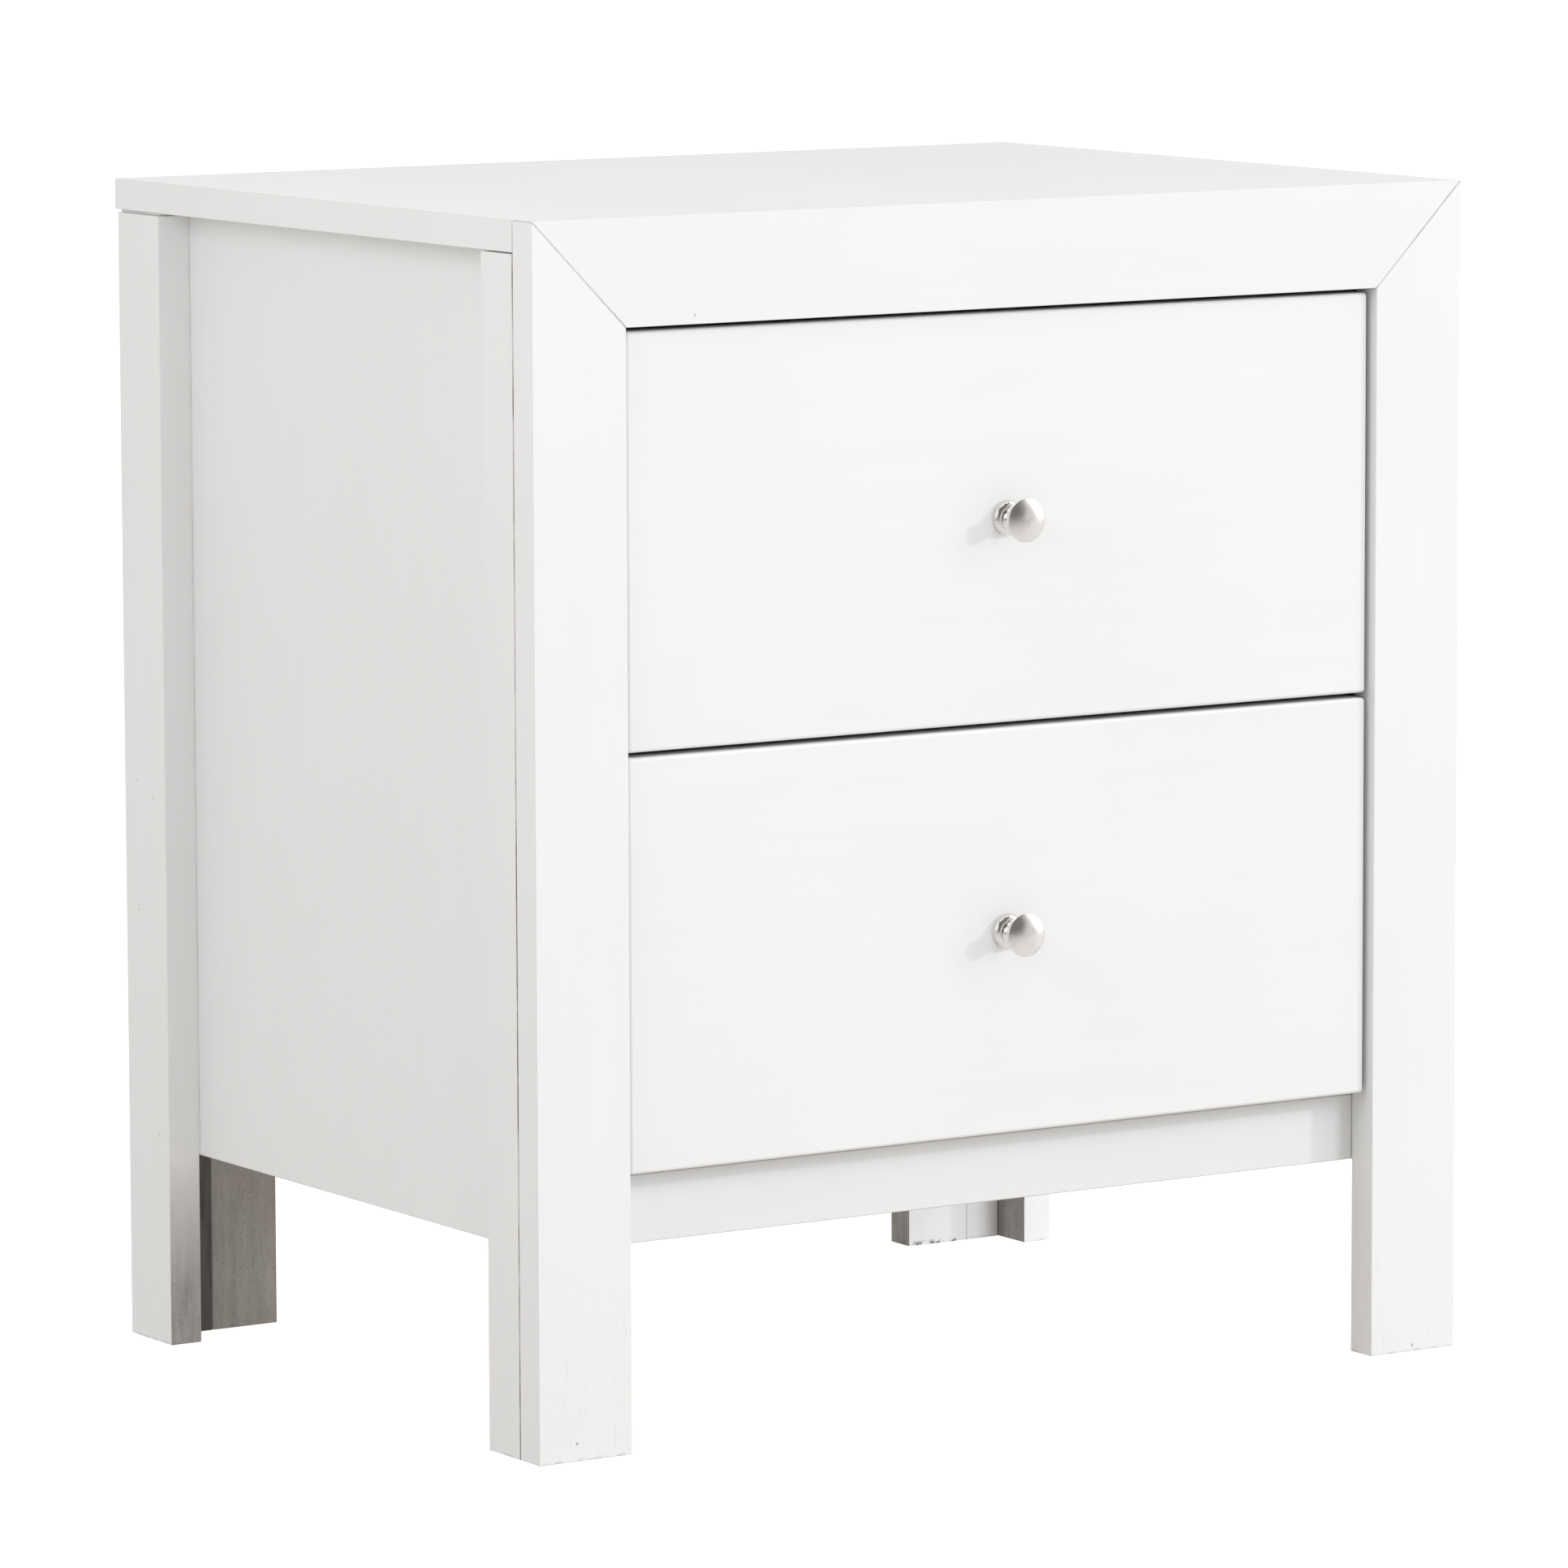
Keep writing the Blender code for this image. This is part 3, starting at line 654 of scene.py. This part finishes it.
def slip(name, size, centre, dirt, turn=0.0):
    """A slim bar of hardened paint; turn is about the line that faces the front, in degrees."""
    shape = bmesh.new()
    bmesh.ops.create_cube(shape, size=1.0)
    bmesh.ops.scale(shape, vec=size, verts=shape.verts)
    bmesh.ops.bevel(shape, geom=shape.edges[:], offset=min(size) * SLIP_BEVEL, segments=2,
                    affect="EDGES")
    bmesh.ops.rotate(shape, cent=(0, 0, 0), matrix=Matrix.Rotation(math.radians(turn), 3, "Y"),
                     verts=shape.verts)
    bmesh.ops.translate(shape, vec=centre, verts=shape.verts)
    add_piece(name, shape, joint_paint(dirt), "case")


def joints():
    """Mitres, corners between side panels and rear legs, and the gaps over and in the rear legs."""
    case_low, case_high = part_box("top_panel")
    rail_low, rail_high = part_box("front_top_rail")
    frame_width = rail_high.z - rail_low.z
    for word, side in (("left", -1), ("right", 1)):
        mitre = (side * (case_high.x - frame_width / 2), rail_low.y + MITRE_SET_BACK,
                 rail_high.z - frame_width / 2)
        slip(f"{word}_mitre_paint", (frame_width * math.sqrt(2) - MITRE_SHORTER, *MITRE_PAINT),
             mitre, MITRE_DIRT, -45.0 * side)
        panel_low, panel_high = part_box(f"{word}_side_panel")
        leg_low, leg_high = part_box(f"rear_{word}_leg_side")
        panel_face = panel_low.x if side < 0 else panel_high.x
        height = panel_high.z - panel_low.z
        corner = (panel_face + side * CORNER_OUT, leg_low.y + CORNER_SET_BACK,
                  panel_low.z + height / 2)
        slip(f"{word}_side_paint", (*CORNER_PAINT, height - SLIP_SHORTER), corner, SLIP_DIRT)
        gap = case_low.z - leg_high.z
        over_leg = ((leg_low.x + leg_high.x) / 2, (leg_low.y + leg_high.y) / 2,
                    leg_high.z + gap / 2)
        shim = (SHIM_WIDTH, leg_high.y - leg_low.y - SLIP_SHORTER, gap - SHIM_THINNER)
        slip(f"rear_{word}_leg_shim", shim, over_leg, SLIP_DIRT)
    board_low, board_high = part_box("rear_right_leg_board")
    block_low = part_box("rear_right_leg_block")[0]
    crack = ((board_high.x + block_low.x) / 2, board_low.y + CORNER_SET_BACK, CASE_BOTTOM / 2)
    slip("rear_right_board_paint", (*CORNER_PAINT, CASE_BOTTOM - SLIP_SHORTER), crack, SLIP_DIRT)


# ---------------------------------------------------------------- stage
def floor():
    half = FLOOR_SIZE / 2
    corners = [(-half, -half, 0), (half, -half, 0), (half, half, 0), (-half, half, 0)]
    mesh = bpy.data.meshes.new("floor")
    mesh.from_pydata(corners, [], [(0, 1, 2, 3)])
    ground = bpy.data.objects.new("floor", mesh)
    bpy.context.scene.collection.objects.link(ground)
    ground.location.z = -FLOOR_DROP
    graph = surface("floor")
    mottle = graph.noise(graph.place(), 3.0)
    dull, bright = (Vector(FLOOR_TINT) * (FLOOR_ALBEDO + step)
                    for step in (-FLOOR_MOTTLE, FLOOR_MOTTLE))
    graph.put(graph.shader, "Base Color", graph.blend(graph.span(mottle, 0.0, 1.0), dull, bright))
    graph.shader.inputs["Roughness"].default_value = 0.9
    graph.shader.inputs["Specular IOR Level"].default_value = 0.0
    graph.shader.inputs["Emission Color"].default_value = (1.0, 1.0, 1.0, 1.0)
    ray = graph.add("ShaderNodeLightPath").outputs
    parts = graph.parts(graph.place())
    diagonal = graph.maths("ADD", parts["X"], parts["Y"])
    mirrored = graph.span(diagonal, *FLOOR_MIRRORED, *FLOOR_MIRRORED_AT)
    glow = graph.mix(ray["Is Glossy Ray"], FLOOR_BOUNCE, mirrored)
    glow = graph.mix(ray["Is Camera Ray"], glow, FLOOR_GLOW)
    graph.put(graph.shader, "Emission Strength", glow)
    graph.owner.cycles.emission_sampling = "NONE"
    mesh.materials.append(graph.owner)
    ground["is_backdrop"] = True


def studio():
    """A white room, brightest at the right; metal mirrors a soft box there and a dark front."""
    world = bpy.data.worlds.new("studio")
    bpy.context.scene.world = world
    room = Graph(world, "Background")
    world.cycles.sampling_method = "NONE"
    towards = room.add("ShaderNodeTexCoord").outputs["Generated"]
    parts = room.parts(towards)
    left = room.span(parts["X"], LEFT_LEVEL, WALL_LEVEL, *LEFT_EDGE)
    right = room.span(parts["X"], 0.0, RIGHT_LEVEL - WALL_LEVEL, *RIGHT_EDGE)
    upness = room.span(parts["Z"], 0.0, 1.0, *CEILING_EDGE)
    soft = room.mix(upness, room.maths("ADD", left, right), CEILING_LEVEL)
    to_dark = room.vectors("DOT_PRODUCT", towards, DARK_TOWARDS)
    dull = room.span(to_dark, ROOM_LEVEL, DARK_LEVEL, *DARK_EDGE)
    clutter = room.span(room.noise(towards, CLUTTER_SCALE, 0.5), *CLUTTER_LEVELS, *CLUTTER_EDGE)
    overhead = room.span(parts["Z"], 0.0, 1.0, *CLUTTER_OVERHEAD)
    cluttered = room.maths("MAXIMUM", room.span(parts["X"], 1.0, 0.0, *CLUTTER_LEFT), overhead)
    clutter = room.mix(cluttered, 1.0, clutter)
    to_box = room.vectors("DOT_PRODUCT", towards, BOX_TOWARDS)
    box = room.span(to_box, 0.0, BOX_LEVEL, *BOX_EDGE)
    mirrored = room.maths("MAXIMUM", room.maths("MULTIPLY", dull, clutter), box)
    ray = room.add("ShaderNodeLightPath").outputs
    level = room.mix(ray["Is Glossy Ray"], soft, mirrored)
    room.put(room.shader, "Strength", room.mix(ray["Is Camera Ray"], level, BACKDROP_LEVEL))
    leftness = room.span(parts["X"], 1.0, 0.0, *WARM_EDGE)
    room.put(room.shader, "Color", room.blend(leftness, WARM, NEUTRAL))


def group(name, pieces):
    collection = bpy.data.collections.new(name)
    for piece in pieces:
        collection.objects.link(piece)
    return collection


def area_light(name, place, size, watts, colour, lit, passed=()):
    """A soft box that lights the collection lit, and shines through the pieces in passed."""
    lamp = bpy.data.lights.new(name, "AREA")
    lamp.shape = "RECTANGLE"
    lamp.size, lamp.size_y = size
    lamp.energy = watts
    lamp.color = colour
    light = bpy.data.objects.new(name, lamp)
    light.location = place
    light.rotation_mode = "QUATERNION"
    light.rotation_quaternion = (place - OBJECT_MIDDLE).to_track_quat("Z", "Y")
    light.visible_camera = False
    light.visible_glossy = False
    light.light_linking.receiver_collection = lit
    if passed:
        stops = [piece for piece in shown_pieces() if piece not in passed]
        light.light_linking.blocker_collection = group(f"stops_{name}", stops)
    bpy.context.scene.collection.objects.link(light)


def lights(caps, bases):
    """Broad key, key, streak lamp, fill and leg lamp; all of them leave the floor alone.

    The knobs stop none of the broad key, and their caps none of the streak lamp, so that a knob
    casts a faint shadow with a firmer streak in it. The leg lamp reaches the right rear leg alone.
    """
    lit = group("lit_by_lamps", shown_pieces())
    place = OBJECT_MIDDLE + BROAD_TOWARDS.normalized() * KEY_DISTANCE
    area_light("broad_key", place, KEY_SIZE, BROAD_WATTS, KEY_COLOUR, lit, caps + bases)
    place = OBJECT_MIDDLE + KEY_TOWARDS.normalized() * KEY_DISTANCE
    area_light("key", place, KEY_SIZE, KEY_WATTS, KEY_COLOUR, lit)
    place = OBJECT_MIDDLE + STREAK_TOWARDS.normalized() * KEY_DISTANCE
    area_light("streak_lamp", place, STREAK_SIZE, STREAK_WATTS, KEY_COLOUR, lit, caps)
    area_light("fill", FILL_PLACE, FILL_SIZE, FILL_WATTS, FILL_COLOUR, lit)
    leg = [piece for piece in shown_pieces() if piece.name.startswith("rear_right_")]
    others = [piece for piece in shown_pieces() if piece not in leg]
    lit = group("rear_right_leg", leg)
    area_light("leg_lamp", LEG_PLACE, LEG_SIZE, LEG_WATTS, LEG_COLOUR, lit, others)


def camera():
    data = bpy.data.cameras.new("camera")
    data.lens = CAMERA_LENS
    eye = bpy.data.objects.new("camera", data)
    eye.location = CAMERA_PLACE
    eye.rotation_mode = "QUATERNION"
    aim = (CAMERA_AIM - CAMERA_PLACE).to_track_quat("-Z", "Y")
    eye.rotation_quaternion = aim @ Quaternion((0, 0, 1), math.radians(-CAMERA_ROLL))
    bpy.context.scene.collection.objects.link(eye)
    bpy.context.scene.camera = eye
    bpy.context.scene.view_settings.view_transform = "Standard"


dress()
knob_caps, knob_bases = knobs()
joints()
floor()
studio()
lights(knob_caps, knob_bases)
camera()
